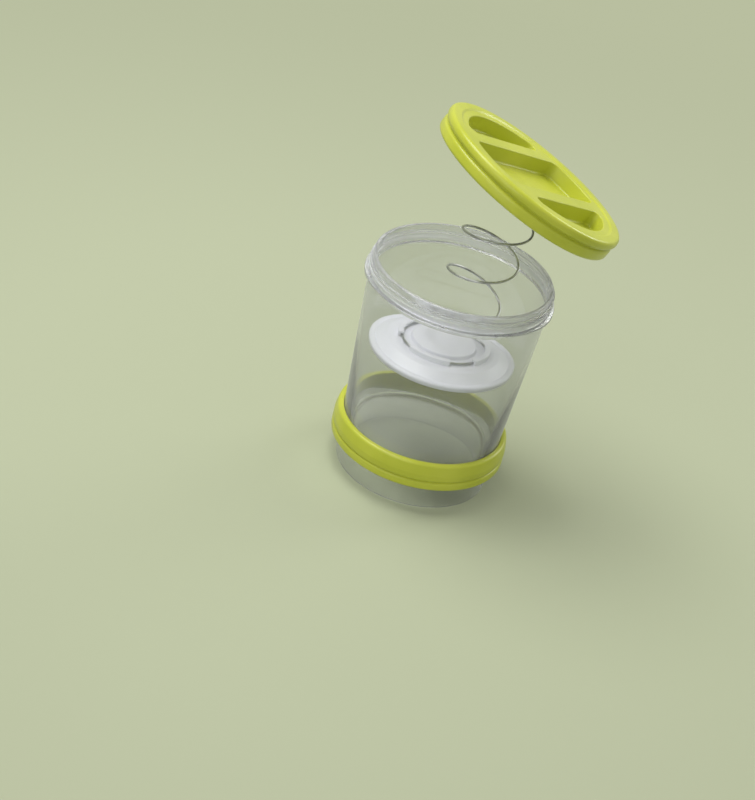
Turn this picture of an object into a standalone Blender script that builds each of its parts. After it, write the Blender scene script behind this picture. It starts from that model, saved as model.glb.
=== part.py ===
"""Pickle press: a clear screw-top jar, its lid lifted off on a long spring, and the press plate below.

Metres, +Z up. The jar stands on its foot at Z = 0 and the lifted lid leans towards +X.
The middle of the whole press's plan is at the origin.
"""

import math

import bmesh
import bpy
from mathutils import Vector

MM = 0.001
DEG = math.pi / 180

# Clearances and mesh steps
GAP = 0.3 * MM
OVERRUN = 1 * MM
SINK = 0.5 * MM
MERGE = 0.001 * MM
SHARP_ANGLE = 32 * DEG
FULL_TURN = 360 * DEG
WIDE_STEPS = 64
HUB_STEPS = 36

# Jar
JAR_HEIGHT = 150 * MM
FOOT_INSET = 7.9 * MM
JAR_TAPER = 3.5 * DEG
JAR_WALL = 2.2 * MM
JAR_FLOOR_TOP = 24.3 * MM
JAR_FLOOR_THICKNESS = 2.5 * MM
JAR_FLOOR_FILLET = 7 * MM
FOOT_FILLET = 3.5 * MM
FOOT_FILLET_DROP = 1.4 * MM
JAR_EDGE = 0.6 * MM
NECK_HEIGHT = 12.6 * MM
NECK_RADIUS = 58.2 * MM
NECK_WALL = 2.3 * MM
RIM_ROUND = 0.9 * MM
FLANGE_WIDTH = 3.4 * MM
FLANGE_THICKNESS = 2.2 * MM

# Grip ring round the jar's lower end
RING_BOTTOM = 18.3 * MM
RING_HEIGHT = 18.7 * MM
RING_STAND_OUT = 7.5 * MM
RING_GROOVE_DEPTH = 1.6 * MM
RING_GROOVE_WIDTH = 1.4 * MM
RING_LOWER_RIDGE = 6.2 * MM
RING_ROUND = 1.6 * MM
RING_SHOULDER = 3.2 * MM
SNAP_BEAD_HEIGHT = 2.4 * MM
SNAP_BEAD_DEPTH = 0.9 * MM

# Press plate
PLATE_HEIGHT = 96.5 * MM
PLATE_ROOM = 2.3 * MM
PLATE_SEAT_RADIUS = 33 * MM
PLATE_DROP = 4.4 * MM
PLATE_LIP_WIDTH = 3.4 * MM
PLATE_LIP_HEIGHT = 0.7 * MM
PLATE_LIP_FOOT = 4.1 * MM
PLATE_EDGE = 4.2 * MM
PLATE_EDGE_RUN = 6.8 * MM
PLATE_BELLY = 3.6 * MM
BELLY_BREAK_SHARE = 0.55
BELLY_BREAK_DEPTH_SHARE = 0.72
BELLY_EDGE_DEPTH_SHARE = 0.2
BOSS_RADIUS = 20.5 * MM
BOSS_HEIGHT = 2.7 * MM
BOSS_ROUND = 1 * MM

# Spring
WIRE_RADIUS = 0.8 * MM
COIL_RADIUS = 21 * MM
PLATE_COIL_RADIUS = 27.5 * MM
SEAT_COIL_RADIUS = 24.5 * MM
FREE_TURNS = 3.9
END_TURNS = 0.85
POINTS_PER_TURN = 24
SPRING_START = -7.5 * DEG
SPRING_RAMP_SHARE = 0.03
SPRING_LEAN = 21 * DEG
COIL_STEP_TURNS = 0.2
LEAN_TURNS = 0.6
PLATE_BEND_SHARE = 0.43
LID_BEND_SHARE = 0.29

# Hooks that hold the end coils, with an open quarter where the wire climbs free
HOOK_COUNT = 3
HOOK_SPACING = 90 * DEG
HOOK_WIDTH = 55 * DEG
HOOK_WALL = 1.5 * MM
HOOK_ROUND = 0.5 * MM
HOOK_STEPS = 6

# Lid, measured down from the top of its rim
LID_SKIRT_WALL = 5.3 * MM
THREAD_ROOM = 3 * MM
LID_HEIGHT = 15 * MM
LID_TILT = 25.25 * DEG
LID_LIFT_X = 29.2 * MM
LID_LIFT_Z = 222.7 * MM
LID_LAND_DROP = 0.8 * MM
LID_LAND_RAMP = 1.6 * MM
LID_RIM_WIDTH = 9 * MM
LID_TOP_THICKNESS = 2 * MM
RIM_SEAT_REACH = 2.2 * MM
RIM_SEAT_SLOPE = 1 * MM
LID_GROOVE_HEIGHT = 8.3 * MM
LID_GROOVE_DEPTH = 2.3 * MM
LID_LOWER_INSET = 0.7 * MM
LID_ROUND = 2.6 * MM

# Grip pockets sunk in the lid's top
POCKET_FLOOR_DEPTH = 10.7 * MM
POCKET_WALL = 1.8 * MM
POCKET_CLEARANCE = 2.1 * MM
BAR_INNER = 18.5 * MM
BAR_WIDTH = 11 * MM
POCKET_HALF_LENGTH = 31 * MM
POCKET_CORNER = 9 * MM
POCKET_FLOOR_ROUND = 2 * MM
SIDE_POCKET_CORNER = 4 * MM
POCKET_TURN = 30.5 * DEG
POCKET_ARC_STEPS = 18
CORNER_STEPS = 5
FLOOR_ROUND_STEPS = 2
ROUND_PROFILE = 0.5

# Spring seat, which turns on the lid's hub
SEAT_THICKNESS = 2.5 * MM
HUB_RADIUS = 7 * MM
HUB_BARB = 1.2 * MM
HUB_BARB_HEIGHT = 2.6 * MM

# Finishes
LIME = (0.56, 0.66, 0.03, 1)
CLEAR = (0.86, 0.88, 0.9, 1)
WHITE = (0.83, 0.82, 0.85, 1)
STEEL = (0.55, 0.56, 0.58, 1)
CLEAR_ROUGHNESS = 0.08
CLEAR_ALPHA = 0.35
LIME_ROUGHNESS = 0.35
WHITE_ROUGHNESS = 0.4
STEEL_ROUGHNESS = 0.3

# Sizes that follow from the ones above
JAR_FOOT_RADIUS = NECK_RADIUS - FOOT_INSET
RING_RADIUS = JAR_FOOT_RADIUS + RING_STAND_OUT
PLATE_RADIUS = JAR_FOOT_RADIUS - PLATE_ROOM
NECK_BORE_RADIUS = NECK_RADIUS - NECK_WALL
FLANGE_RADIUS = NECK_RADIUS + FLANGE_WIDTH
LID_SKIRT_INSIDE = NECK_RADIUS + THREAD_ROOM
LID_RADIUS = LID_SKIRT_INSIDE + LID_SKIRT_WALL
LID_LAND_RADIUS = LID_RADIUS - LID_RIM_WIDTH
POCKET_CIRCLE = NECK_BORE_RADIUS - POCKET_CLEARANCE - POCKET_WALL
PLATE_COIL_Z = PLATE_HEIGHT + GAP + WIRE_RADIUS
LID_FLOOR_DEPTH = POCKET_FLOOR_DEPTH + POCKET_WALL
SEAT_TOP_DEPTH = LID_FLOOR_DEPTH + GAP
SEAT_COIL_DEPTH = SEAT_TOP_DEPTH + SEAT_THICKNESS + GAP + WIRE_RADIUS
NECK_BOTTOM = JAR_HEIGHT - NECK_HEIGHT
LID_CLOSED_TOP = NECK_BOTTOM + FLANGE_THICKNESS / 2 + GAP + LID_HEIGHT


def jar_outside(height):
    """The tapered wall's outer radius at a height."""
    return JAR_FOOT_RADIUS + math.tan(JAR_TAPER) * height


def lid_axis():
    return Vector((math.sin(LID_TILT), 0, math.cos(LID_TILT)))


def spring_top():
    """The middle of the spring's upper end coil, which the lid rocks about."""
    return Vector((LID_LIFT_X, 0, LID_LIFT_Z)) - lid_axis() * SEAT_COIL_DEPTH


def swing_pole():
    """The point that the lid turns about on its way between lifted and shut."""
    lifted = spring_top()
    shut = Vector((0, 0, LID_CLOSED_TOP - SEAT_COIL_DEPTH))
    chord = lifted - shut
    side = Vector((chord.z, 0, -chord.x)).normalized()
    return (lifted + shut) / 2 + side * chord.length / 2 / math.tan(LID_TILT / 2)


def arc(middle_r, middle_z, radius, start, end, steps):
    """Points of a round stretch of a turned outline."""
    points = []
    for step in range(steps + 1):
        angle = start + (end - start) * step / steps
        points.append((middle_r + radius * math.cos(angle), middle_z + radius * math.sin(angle)))
    return points


def material(name, colour, roughness, metallic=0.0, alpha=1.0):
    made = bpy.data.materials.new(name)
    made.use_nodes = True
    shader = made.node_tree.nodes["Principled BSDF"]
    shader.inputs["Base Color"].default_value = colour
    shader.inputs["Roughness"].default_value = roughness
    shader.inputs["Metallic"].default_value = metallic
    shader.inputs["Alpha"].default_value = alpha
    return made


def add_object(name, data, parent, finish=None):
    made = bpy.data.objects.new(name, data)
    bpy.context.scene.collection.objects.link(made)
    made.parent = parent
    if finish is not None:
        data.materials.append(finish)
    return made


def add_empty(name, parent=None, location=(0, 0, 0), tilt=0.0):
    made = add_object(name, None, parent)
    made.location = location
    made.rotation_euler.y = tilt
    return made


def mesh_from(build, name):
    """Cleans a bmesh, points its faces outward and turns it into a smooth-shaded mesh."""
    bmesh.ops.remove_doubles(build, verts=build.verts, dist=MERGE)
    bmesh.ops.dissolve_degenerate(build, edges=build.edges, dist=MERGE)
    bmesh.ops.recalc_face_normals(build, faces=build.faces)
    mesh = bpy.data.meshes.new(name)
    build.to_mesh(mesh)
    build.free()
    mesh.shade_smooth()
    mesh.set_sharp_from_angle(angle=SHARP_ANGLE)
    return mesh


def spin_outline(build, outline, steps, sweep=FULL_TURN, start=0.0):
    """Turns an outline of (radius, height) points about Z; an outline that ends on Z is left open there."""
    points = [build.verts.new((r * math.cos(start), r * math.sin(start), z)) for r, z in outline]
    pairs = list(zip(points, points[1:]))
    if min(r for r, z in outline) > 0:
        pairs.append((points[-1], points[0]))
    edges = [build.edges.new(pair) for pair in pairs]
    whole = sweep == FULL_TURN
    bmesh.ops.spin(build, geom=points + edges, cent=(0, 0, 0), axis=(0, 0, 1),
                   angle=sweep, steps=steps, use_merge=whole, use_duplicate=False)
    if not whole:
        ends = [edge for edge in build.edges if edge.is_boundary]
        bmesh.ops.holes_fill(build, edges=ends, sides=0)


def turned(name, outline, steps):
    build = bmesh.new()
    spin_outline(build, outline, steps)
    return mesh_from(build, name)


def hooks(name, outline, first_middle, way):
    """Short arcs of one hooked outline, stepped round Z, way +1 being anticlockwise."""
    build = bmesh.new()
    for index in range(HOOK_COUNT):
        middle = first_middle + way * HOOK_SPACING * index
        spin_outline(build, outline, HOOK_STEPS, HOOK_WIDTH, middle - HOOK_WIDTH / 2)
    return mesh_from(build, name)


def prism(build, outline, bottom, top, corner, floor_round=0.0):
    """An upright solid on a closed outline, with its sharp upright corners and its floor edge rounded."""
    ring = [build.verts.new((x, y, bottom)) for x, y in outline]
    floor = build.faces.new(ring)
    raised = bmesh.ops.extrude_face_region(build, geom=[floor])["geom"]
    lifted = [item for item in raised if isinstance(item, bmesh.types.BMVert)]
    bmesh.ops.translate(build, verts=lifted, vec=(0, 0, top - bottom))
    own = set(ring) | set(lifted)
    bmesh.ops.recalc_face_normals(build, faces=[f for f in build.faces if f.verts[0] in own])
    upright = [edge for vert in ring for edge in vert.link_edges if edge.other_vert(vert) in set(lifted)]
    sharp = [edge for edge in upright if edge.calc_face_angle(0) > SHARP_ANGLE]
    bmesh.ops.bevel(build, geom=sharp, offset=corner, segments=CORNER_STEPS,
                    profile=ROUND_PROFILE, affect="EDGES")
    if floor_round > 0:
        low = [edge for edge in build.edges
               if all(abs(vert.co.z - bottom) < MERGE for vert in edge.verts)]
        bmesh.ops.bevel(build, geom=low, offset=floor_round, segments=FLOOR_ROUND_STEPS,
                        profile=ROUND_PROFILE, affect="EDGES")


def combine(target, tool, operation):
    """Joins a tool body to a target, or cuts it from the target."""
    tool.hide_render = True
    tool.display_type = "WIRE"
    cut = target.modifiers.new(tool.name, "BOOLEAN")
    cut.object = tool
    cut.operation = operation
    cut.solver = "EXACT"


def jar_outline():
    """The jar's wall, floor and foot, from the middle of the floor's underside round to its top."""
    bead_top = RING_BOTTOM - GAP
    bead_bottom = bead_top - SNAP_BEAD_HEIGHT
    foot_inside = JAR_FOOT_RADIUS - JAR_WALL
    under = JAR_FLOOR_TOP - JAR_FLOOR_THICKNESS
    flange_top = NECK_BOTTOM + FLANGE_THICKNESS / 2
    flange_bottom = NECK_BOTTOM - FLANGE_THICKNESS / 2
    corner_r = jar_outside(JAR_FLOOR_TOP) - JAR_WALL - JAR_FLOOR_FILLET
    corner_z = JAR_FLOOR_TOP + JAR_FLOOR_FILLET
    points = [(0, under)]
    points += [(corner_r, under)]
    points += [(jar_outside(under) - JAR_WALL - FOOT_FILLET, under - FOOT_FILLET_DROP)]
    points += [(foot_inside + JAR_EDGE, under - FOOT_FILLET)]
    points += [(foot_inside, JAR_EDGE), (foot_inside + JAR_EDGE / 2, 0)]
    points += [(JAR_FOOT_RADIUS - JAR_EDGE, 0), (jar_outside(JAR_EDGE), JAR_EDGE)]
    points += [(jar_outside(bead_bottom), bead_bottom)]
    points += [(jar_outside(bead_top) + SNAP_BEAD_DEPTH, (bead_top + bead_bottom) / 2)]
    points += [(jar_outside(bead_top) + SNAP_BEAD_DEPTH, bead_top - JAR_EDGE), (jar_outside(bead_top), bead_top)]
    points += [(jar_outside(RING_BOTTOM + RING_HEIGHT), RING_BOTTOM + RING_HEIGHT)]
    points += [(jar_outside(flange_bottom), flange_bottom - JAR_WALL / 2)]
    points += [(FLANGE_RADIUS - JAR_EDGE, flange_bottom), (FLANGE_RADIUS, flange_bottom + JAR_EDGE)]
    points += [(FLANGE_RADIUS, flange_top - JAR_EDGE), (FLANGE_RADIUS - JAR_EDGE, flange_top)]
    points += [(NECK_RADIUS, flange_top)]
    points += arc(NECK_RADIUS - RIM_ROUND, JAR_HEIGHT - RIM_ROUND, RIM_ROUND, 0, 90 * DEG, 3)
    points += arc(NECK_BORE_RADIUS + RIM_ROUND / 2, JAR_HEIGHT - RIM_ROUND / 2, RIM_ROUND / 2, 90 * DEG, 180 * DEG, 2)
    points += [(NECK_BORE_RADIUS, NECK_BOTTOM)]
    points += [(jar_outside(flange_bottom) - JAR_WALL, flange_bottom - JAR_WALL / 2)]
    points += arc(corner_r, corner_z, JAR_FLOOR_FILLET, 0, -90 * DEG, 5)
    points += [(0, JAR_FLOOR_TOP)]
    return points


def make_jar(parent, finish):
    return add_object("jar", turned("jar", jar_outline(), WIDE_STEPS), parent, finish)


def make_base_ring(parent, finish):
    """The grip ring: a low ridge, a groove and a tall ridge, snapped over the jar's bead."""
    top = RING_BOTTOM + RING_HEIGHT
    groove = RING_BOTTOM + RING_LOWER_RIDGE
    outside = RING_RADIUS
    valley = RING_RADIUS - RING_GROOVE_DEPTH
    points = [(jar_outside(RING_BOTTOM) + GAP, RING_BOTTOM)]
    points += arc(outside - RING_ROUND, RING_BOTTOM + RING_ROUND, RING_ROUND, -90 * DEG, 0, 2)
    points += arc(outside - RING_ROUND, groove - RING_GROOVE_WIDTH / 2 - RING_ROUND, RING_ROUND, 0, 60 * DEG, 2)
    points += [(valley, groove)]
    points += arc(outside - RING_ROUND, groove + RING_GROOVE_WIDTH / 2 + RING_ROUND, RING_ROUND, -60 * DEG, 0, 2)
    points += arc(outside - RING_SHOULDER, top - RING_SHOULDER, RING_SHOULDER, 0, 75 * DEG, 4)
    points += [(jar_outside(top) + GAP + RING_ROUND / 2, top), (jar_outside(top) + GAP, top - RING_ROUND / 2)]
    return add_object("base_ring", turned("base_ring", points, WIDE_STEPS), parent, finish)


def hook_outline(coil_radius, floor, away):
    """A hook's outline: a post outside an end coil with a lip over it. The coil lies on the floor, away is +1 up."""
    post_inside = coil_radius + WIRE_RADIUS + GAP
    post_outside = post_inside + HOOK_WALL
    lip_low = floor + away * (WIRE_RADIUS * 2 + GAP * 2)
    lip_high = lip_low + away * HOOK_WALL
    lip_inside = coil_radius - WIRE_RADIUS - GAP
    root = floor - away * SINK
    return [
        (post_inside, root), (post_outside, root),
        (post_outside, lip_high - away * HOOK_ROUND), (post_outside - HOOK_ROUND, lip_high),
        (lip_inside + HOOK_ROUND, lip_high), (lip_inside, lip_high - away * HOOK_ROUND),
        (lip_inside, lip_low), (post_inside, lip_low),
    ]


def make_press_plate(parent, finish):
    """A thick plate with a lens-shaped belly, a raised spring seat, a central boss and four wire hooks."""
    lip_middle = PLATE_RADIUS - PLATE_LIP_WIDTH / 2
    lip_top = -PLATE_DROP
    round_edge = PLATE_LIP_WIDTH / 2
    points = [(0, lip_top - PLATE_EDGE - PLATE_BELLY)]
    points += [(PLATE_RADIUS * BELLY_BREAK_SHARE, lip_top - PLATE_EDGE - PLATE_BELLY * BELLY_BREAK_DEPTH_SHARE)]
    points += [(PLATE_RADIUS - PLATE_EDGE_RUN, lip_top - PLATE_EDGE - PLATE_BELLY * BELLY_EDGE_DEPTH_SHARE)]
    points += arc(lip_middle, lip_top - PLATE_EDGE + round_edge, round_edge, -70 * DEG, 0, 3)
    points += arc(lip_middle, lip_top - round_edge, round_edge, 0, 150 * DEG, 5)
    points += [(PLATE_RADIUS - PLATE_LIP_FOOT, lip_top - PLATE_LIP_HEIGHT)]
    points += [(PLATE_SEAT_RADIUS + PLATE_LIP_WIDTH, -PLATE_LIP_HEIGHT), (PLATE_SEAT_RADIUS, 0)]
    points += [(BOSS_RADIUS + BOSS_ROUND, 0), (BOSS_RADIUS, BOSS_HEIGHT - BOSS_ROUND)]
    points += [(BOSS_RADIUS - BOSS_ROUND, BOSS_HEIGHT), (0, BOSS_HEIGHT)]
    plate = add_object("press_plate", turned("press_plate", points, WIDE_STEPS), parent, finish)
    plate.location.z = PLATE_HEIGHT
    first = SPRING_START - HOOK_WIDTH / 2
    shape = hooks("plate_hooks", hook_outline(PLATE_COIL_RADIUS, 0, 1), first, -1)
    catch = add_object("plate_hooks", shape, parent)
    catch.location.z = PLATE_HEIGHT
    combine(plate, catch, "UNION")
    return plate


def eased(turn, turns):
    """Share of the free height that is climbed after a number of turns, with a soft start and end."""
    ramp = turns * SPRING_RAMP_SHARE
    whole = turns - ramp
    clipped = min(max(turn, 0), turns)
    if clipped < ramp:
        return clipped ** 2 / (2 * ramp) / whole
    if clipped > turns - ramp:
        return 1 - (turns - clipped) ** 2 / (2 * ramp) / whole
    return (clipped - ramp / 2) / whole


def smooth(share):
    clipped = min(max(share, 0), 1)
    return clipped * clipped * (3 - 2 * clipped)


def spring_point(turn):
    """A point of the wire's middle: a coil on the plate, free turns that lean over, and a coil in the seat."""
    low = Vector((0, 0, PLATE_COIL_Z))
    high = spring_top()
    length = (high - low).length
    lean = Vector((math.sin(SPRING_LEAN), 0, math.cos(SPRING_LEAN)))
    knots = (low, low + lean * length * PLATE_BEND_SHARE, high - lid_axis() * length * LID_BEND_SHARE, high)
    share = eased(turn, FREE_TURNS)
    rest = 1 - share
    middle = (knots[0] * rest ** 3 + knots[1] * 3 * rest ** 2 * share
              + knots[2] * 3 * rest * share ** 2 + knots[3] * share ** 3)
    way = ((knots[1] - knots[0]) * rest ** 2 + (knots[2] - knots[1]) * 2 * rest * share
           + (knots[3] - knots[2]) * share ** 2).normalized()
    way = Vector((0, 0, 1)).lerp(way, smooth(turn / LEAN_TURNS)).normalized()
    side = Vector((way.z, 0, -way.x))
    leave = smooth(turn / COIL_STEP_TURNS)
    arrive = smooth((turn - FREE_TURNS) / COIL_STEP_TURNS + 1)
    radius = PLATE_COIL_RADIUS + (COIL_RADIUS - PLATE_COIL_RADIUS) * leave
    radius += (SEAT_COIL_RADIUS - COIL_RADIUS) * arrive
    angle = SPRING_START + FULL_TURN * turn
    return middle + side * radius * math.cos(angle) + Vector((0, radius * math.sin(angle), 0))


def make_spring(parent, finish):
    """One unbroken round wire. Its least gap to itself is measured between points half a turn or more apart."""
    turns = FREE_TURNS + 2 * END_TURNS
    count = round(turns * POINTS_PER_TURN)
    points = [spring_point(turns * step / count - END_TURNS) for step in range(count + 1)]
    curve = bpy.data.curves.new("spring", "CURVE")
    curve.dimensions = "3D"
    curve.bevel_depth = WIRE_RADIUS
    curve.bevel_resolution = 1
    curve.use_fill_caps = True
    path = curve.splines.new("POLY")
    path.points.add(count)
    for knot, point in zip(path.points, points):
        knot.co = (*point, 1)
    apart = POINTS_PER_TURN // 2
    least = min((points[first] - points[second]).length
                for first in range(count + 1) for second in range(first + apart, count + 1))
    print("spring: least gap to itself in mm:", round((least - 2 * WIRE_RADIUS) / MM, 2))
    return add_object("spring", curve, parent, finish)


def make_spring_seat(parent, finish):
    """A hooked disc that holds the spring's upper coil and turns on the lid's hub."""
    top = SEAT_COIL_DEPTH - SEAT_TOP_DEPTH
    floor = top - SEAT_THICKNESS
    edge = SEAT_COIL_RADIUS + WIRE_RADIUS + GAP + HOOK_WALL
    points = [
        (HUB_RADIUS + GAP, floor), (edge - HOOK_ROUND, floor), (edge, floor + HOOK_ROUND),
        (edge, top - HOOK_ROUND), (edge - HOOK_ROUND, top), (HUB_RADIUS + GAP, top),
    ]
    seat = add_object("spring_seat", turned("spring_seat", points, WIDE_STEPS), parent, finish)
    first = SPRING_START + FULL_TURN * FREE_TURNS + HOOK_WIDTH / 2
    shape = hooks("seat_hooks", hook_outline(SEAT_COIL_RADIUS, floor, -1), first, 1)
    catch = add_object("seat_hooks", shape, parent)
    combine(seat, catch, "UNION")
    return seat


def lid_outline():
    """The lid's shell without its pockets: land, rolled rim, two ridges, skirt and roof."""
    upper = LID_RADIUS - LID_ROUND
    lower = LID_RADIUS - LID_LOWER_INSET - LID_ROUND
    groove = LID_RADIUS - LID_GROOVE_DEPTH
    groove_z = -LID_HEIGHT + LID_GROOVE_HEIGHT
    seat_z = JAR_HEIGHT + GAP - LID_CLOSED_TOP
    seat_inside = NECK_BORE_RADIUS - RIM_SEAT_REACH
    under = -LID_LAND_DROP - LID_TOP_THICKNESS
    points = [(0, under), (seat_inside - RIM_SEAT_SLOPE, under), (seat_inside, seat_z)]
    points += [(LID_SKIRT_INSIDE - JAR_EDGE, seat_z), (LID_SKIRT_INSIDE, seat_z - JAR_EDGE)]
    points += [(LID_SKIRT_INSIDE, JAR_EDGE - LID_HEIGHT), (LID_SKIRT_INSIDE + JAR_EDGE, -LID_HEIGHT)]
    points += arc(lower, LID_ROUND - LID_HEIGHT, LID_ROUND, -90 * DEG, 0, 4)
    points += arc(lower, groove_z - LID_ROUND, LID_ROUND, 0, 65 * DEG, 3)
    points += [(groove, groove_z)]
    points += arc(upper, groove_z + LID_ROUND, LID_ROUND, -65 * DEG, 0, 3)
    points += arc(upper, -LID_ROUND, LID_ROUND, 0, 90 * DEG, 5)
    points += [(LID_LAND_RADIUS + LID_LAND_RAMP, 0), (LID_LAND_RADIUS, -LID_LAND_DROP)]
    points += [(0, -LID_LAND_DROP)]
    return points


def turned_plan(points):
    """Turns plan points by the angle at which the grip bars cross the lid."""
    cosine = math.cos(POCKET_TURN)
    sine = math.sin(POCKET_TURN)
    return [(x * cosine - y * sine, x * sine + y * cosine) for x, y in points]


def middle_pocket(grow):
    """A rounded rectangle between the two grip bars, grown by a wall."""
    along = POCKET_HALF_LENGTH + grow
    across = BAR_INNER + grow
    return turned_plan([(-along, -across), (along, -across), (along, across), (-along, across)])


def side_pocket(side, grow):
    """A slice of a circle outside one grip bar, grown by a wall."""
    radius = POCKET_CIRCLE + grow
    chord = BAR_INNER + BAR_WIDTH - grow
    half = math.acos(chord / radius)
    points = []
    for step in range(POCKET_ARC_STEPS + 1):
        angle = side * 90 * DEG - half + 2 * half * step / POCKET_ARC_STEPS
        points.append((radius * math.cos(angle), radius * math.sin(angle)))
    return turned_plan(points)


def pocket_bodies(name, grow, bottom, top, floor_round):
    build = bmesh.new()
    prism(build, middle_pocket(grow), bottom, top, POCKET_CORNER + grow, floor_round)
    middle = mesh_from(build, name)
    build = bmesh.new()
    build.from_mesh(middle)
    for side in (-1, 1):
        piece = bmesh.new()
        prism(piece, side_pocket(side, grow), bottom, top, SIDE_POCKET_CORNER + grow, floor_round)
        build.from_mesh(mesh_from(piece, name))
    return mesh_from(build, name)


def make_lid(parent, finish):
    """A double-ridged screw lid: its top has three grip pockets with a bar between each pair."""
    lid = add_object("lid", turned("lid", lid_outline(), WIDE_STEPS), parent, finish)
    land_middle = -LID_LAND_DROP - LID_TOP_THICKNESS / 2
    tubs = pocket_bodies("pocket_tubs", POCKET_WALL, -LID_FLOOR_DEPTH, land_middle, POCKET_FLOOR_ROUND)
    combine(lid, add_object("pocket_tubs", tubs, parent), "UNION")
    cuts = pocket_bodies("pocket_cuts", 0, -POCKET_FLOOR_DEPTH, OVERRUN, POCKET_FLOOR_ROUND)
    combine(lid, add_object("pocket_cuts", cuts, parent), "DIFFERENCE")

    hub_low = -SEAT_TOP_DEPTH - SEAT_THICKNESS - GAP
    hub = [
        (0, hub_low - HUB_BARB_HEIGHT), (HUB_RADIUS, hub_low - HUB_BARB_HEIGHT),
        (HUB_RADIUS + GAP + HUB_BARB, hub_low - HUB_BARB), (HUB_RADIUS + GAP + HUB_BARB, hub_low),
        (HUB_RADIUS, hub_low), (HUB_RADIUS, SINK - LID_FLOOR_DEPTH), (0, SINK - LID_FLOOR_DEPTH),
    ]
    combine(lid, add_object("lid_hub", turned("lid_hub", hub, HUB_STEPS), parent), "UNION")
    return lid


def solid_bounds_x(objects):
    """Lowest and highest X of some objects as they are shown."""
    graph = bpy.context.evaluated_depsgraph_get()
    edges = []
    for item in objects:
        shown = item.evaluated_get(graph)
        mesh = shown.to_mesh()
        edges += [(shown.matrix_world @ vert.co).x for vert in mesh.vertices]
        shown.to_mesh_clear()
    return min(edges), max(edges)


def main():
    for item in list(bpy.data.objects):
        bpy.data.objects.remove(item)

    clear = material("clear_plastic", CLEAR, CLEAR_ROUGHNESS, alpha=CLEAR_ALPHA)
    lime = material("lime_plastic", LIME, LIME_ROUGHNESS)
    white = material("white_plastic", WHITE, WHITE_ROUGHNESS)
    steel = material("spring_steel", STEEL, STEEL_ROUGHNESS, metallic=1.0)

    press = add_empty("press")
    swing = add_empty("lid_swing", press, swing_pole())
    top_pivot = add_empty("spring_top", swing, spring_top() - swing_pole(), LID_TILT)
    lid_place = add_empty("lid_place", top_pivot, (0, 0, SEAT_COIL_DEPTH))

    pieces = [
        make_jar(press, clear),
        make_base_ring(press, lime),
        make_press_plate(press, white),
        make_spring(press, steel),
        make_spring_seat(top_pivot, white),
        make_lid(lid_place, lime),
    ]
    bpy.context.view_layer.update()
    left, right = solid_bounds_x(pieces)
    press.location.x = -(left + right) / 2
    bpy.context.view_layer.update()
    print("jar axis at X in mm:", round(press.location.x / MM, 3))
    print("swing pole in mm:", [round(value / MM, 3) for value in swing.matrix_world.translation])
    print("lid axis through, in mm:", [round(value / MM, 3) for value in lid_place.matrix_world.translation])


main()
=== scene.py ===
# %% [markdown]
# # A pickle press with its lid lifted off
#
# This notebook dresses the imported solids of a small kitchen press. A clear jar stands in a lime grip
# ring. A white plate hangs in it on a long spring, and the spring's other end is held under a lime
# screw lid. Each piece is made to the solids' own sizes, so nothing here changes how big the press is.

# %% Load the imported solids
import math

import bmesh
import bpy
from mathutils import Matrix, Vector


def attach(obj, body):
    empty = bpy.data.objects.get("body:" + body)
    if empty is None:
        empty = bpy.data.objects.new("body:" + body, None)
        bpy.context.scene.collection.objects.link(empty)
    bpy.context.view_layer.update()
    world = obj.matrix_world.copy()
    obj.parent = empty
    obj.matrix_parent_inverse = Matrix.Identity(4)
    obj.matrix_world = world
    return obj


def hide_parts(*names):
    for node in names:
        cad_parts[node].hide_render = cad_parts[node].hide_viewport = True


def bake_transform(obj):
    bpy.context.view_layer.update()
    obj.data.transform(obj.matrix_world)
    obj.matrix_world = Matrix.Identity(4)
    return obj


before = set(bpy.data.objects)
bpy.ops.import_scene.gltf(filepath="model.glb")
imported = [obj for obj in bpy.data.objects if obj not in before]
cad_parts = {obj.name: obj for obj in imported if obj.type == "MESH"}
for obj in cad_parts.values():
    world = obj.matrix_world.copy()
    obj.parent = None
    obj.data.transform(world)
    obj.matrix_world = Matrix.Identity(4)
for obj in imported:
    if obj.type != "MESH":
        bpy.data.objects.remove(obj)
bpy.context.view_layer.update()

MM = 0.001
DEG = math.pi / 180
TURN = 2 * math.pi
JAR_AXIS = Vector((-13.432, 0, 0)) * MM

# %% [markdown]
# ## Camera
# The photograph looks down at the press and is rolled to one side, so that the jar leans to the right
# in the picture. The camera is written as its place and the three directions of its own axes. They
# were solved from the outlines of the jar's rim, ring and foot.

# %% Camera
CAMERA_PLACE = (-0.464752, -1.14753, 0.78589)
CAMERA_RIGHT = (0.9535831, -0.20523784, 0.22035583)
CAMERA_UP = (-0.07095663, 0.55801363, 0.82679257)
CAMERA_BACK = (-0.29265068, -0.80405113, 0.51754938)
LONG_SIDE_PIXELS = 800
FOCAL_PIXELS = 2200
SENSOR = 36

camera_data = bpy.data.cameras.new("camera")
camera_data.sensor_width = SENSOR
camera_data.lens = FOCAL_PIXELS / LONG_SIDE_PIXELS * SENSOR
camera = bpy.data.objects.new("camera", camera_data)
bpy.context.scene.collection.objects.link(camera)
axes = Matrix((CAMERA_RIGHT, CAMERA_UP, CAMERA_BACK)).transposed()
camera.matrix_world = Matrix.Translation(CAMERA_PLACE) @ axes.to_4x4()
bpy.context.scene.camera = camera
bpy.context.scene.view_settings.view_transform = "Standard"
print("lens in mm:", round(camera_data.lens, 1))

# %% [markdown]
# ## Nodes written as sums
# A finish is a small graph of nodes. Wiring each Math node by hand hides what the graph means, so a
# socket is wrapped in a class whose operators add the Math node for us. Then `0.3 + 0.1 * grain`
# reads like the sum it is. One more method adds any other node from its type, settings and inputs.

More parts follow.
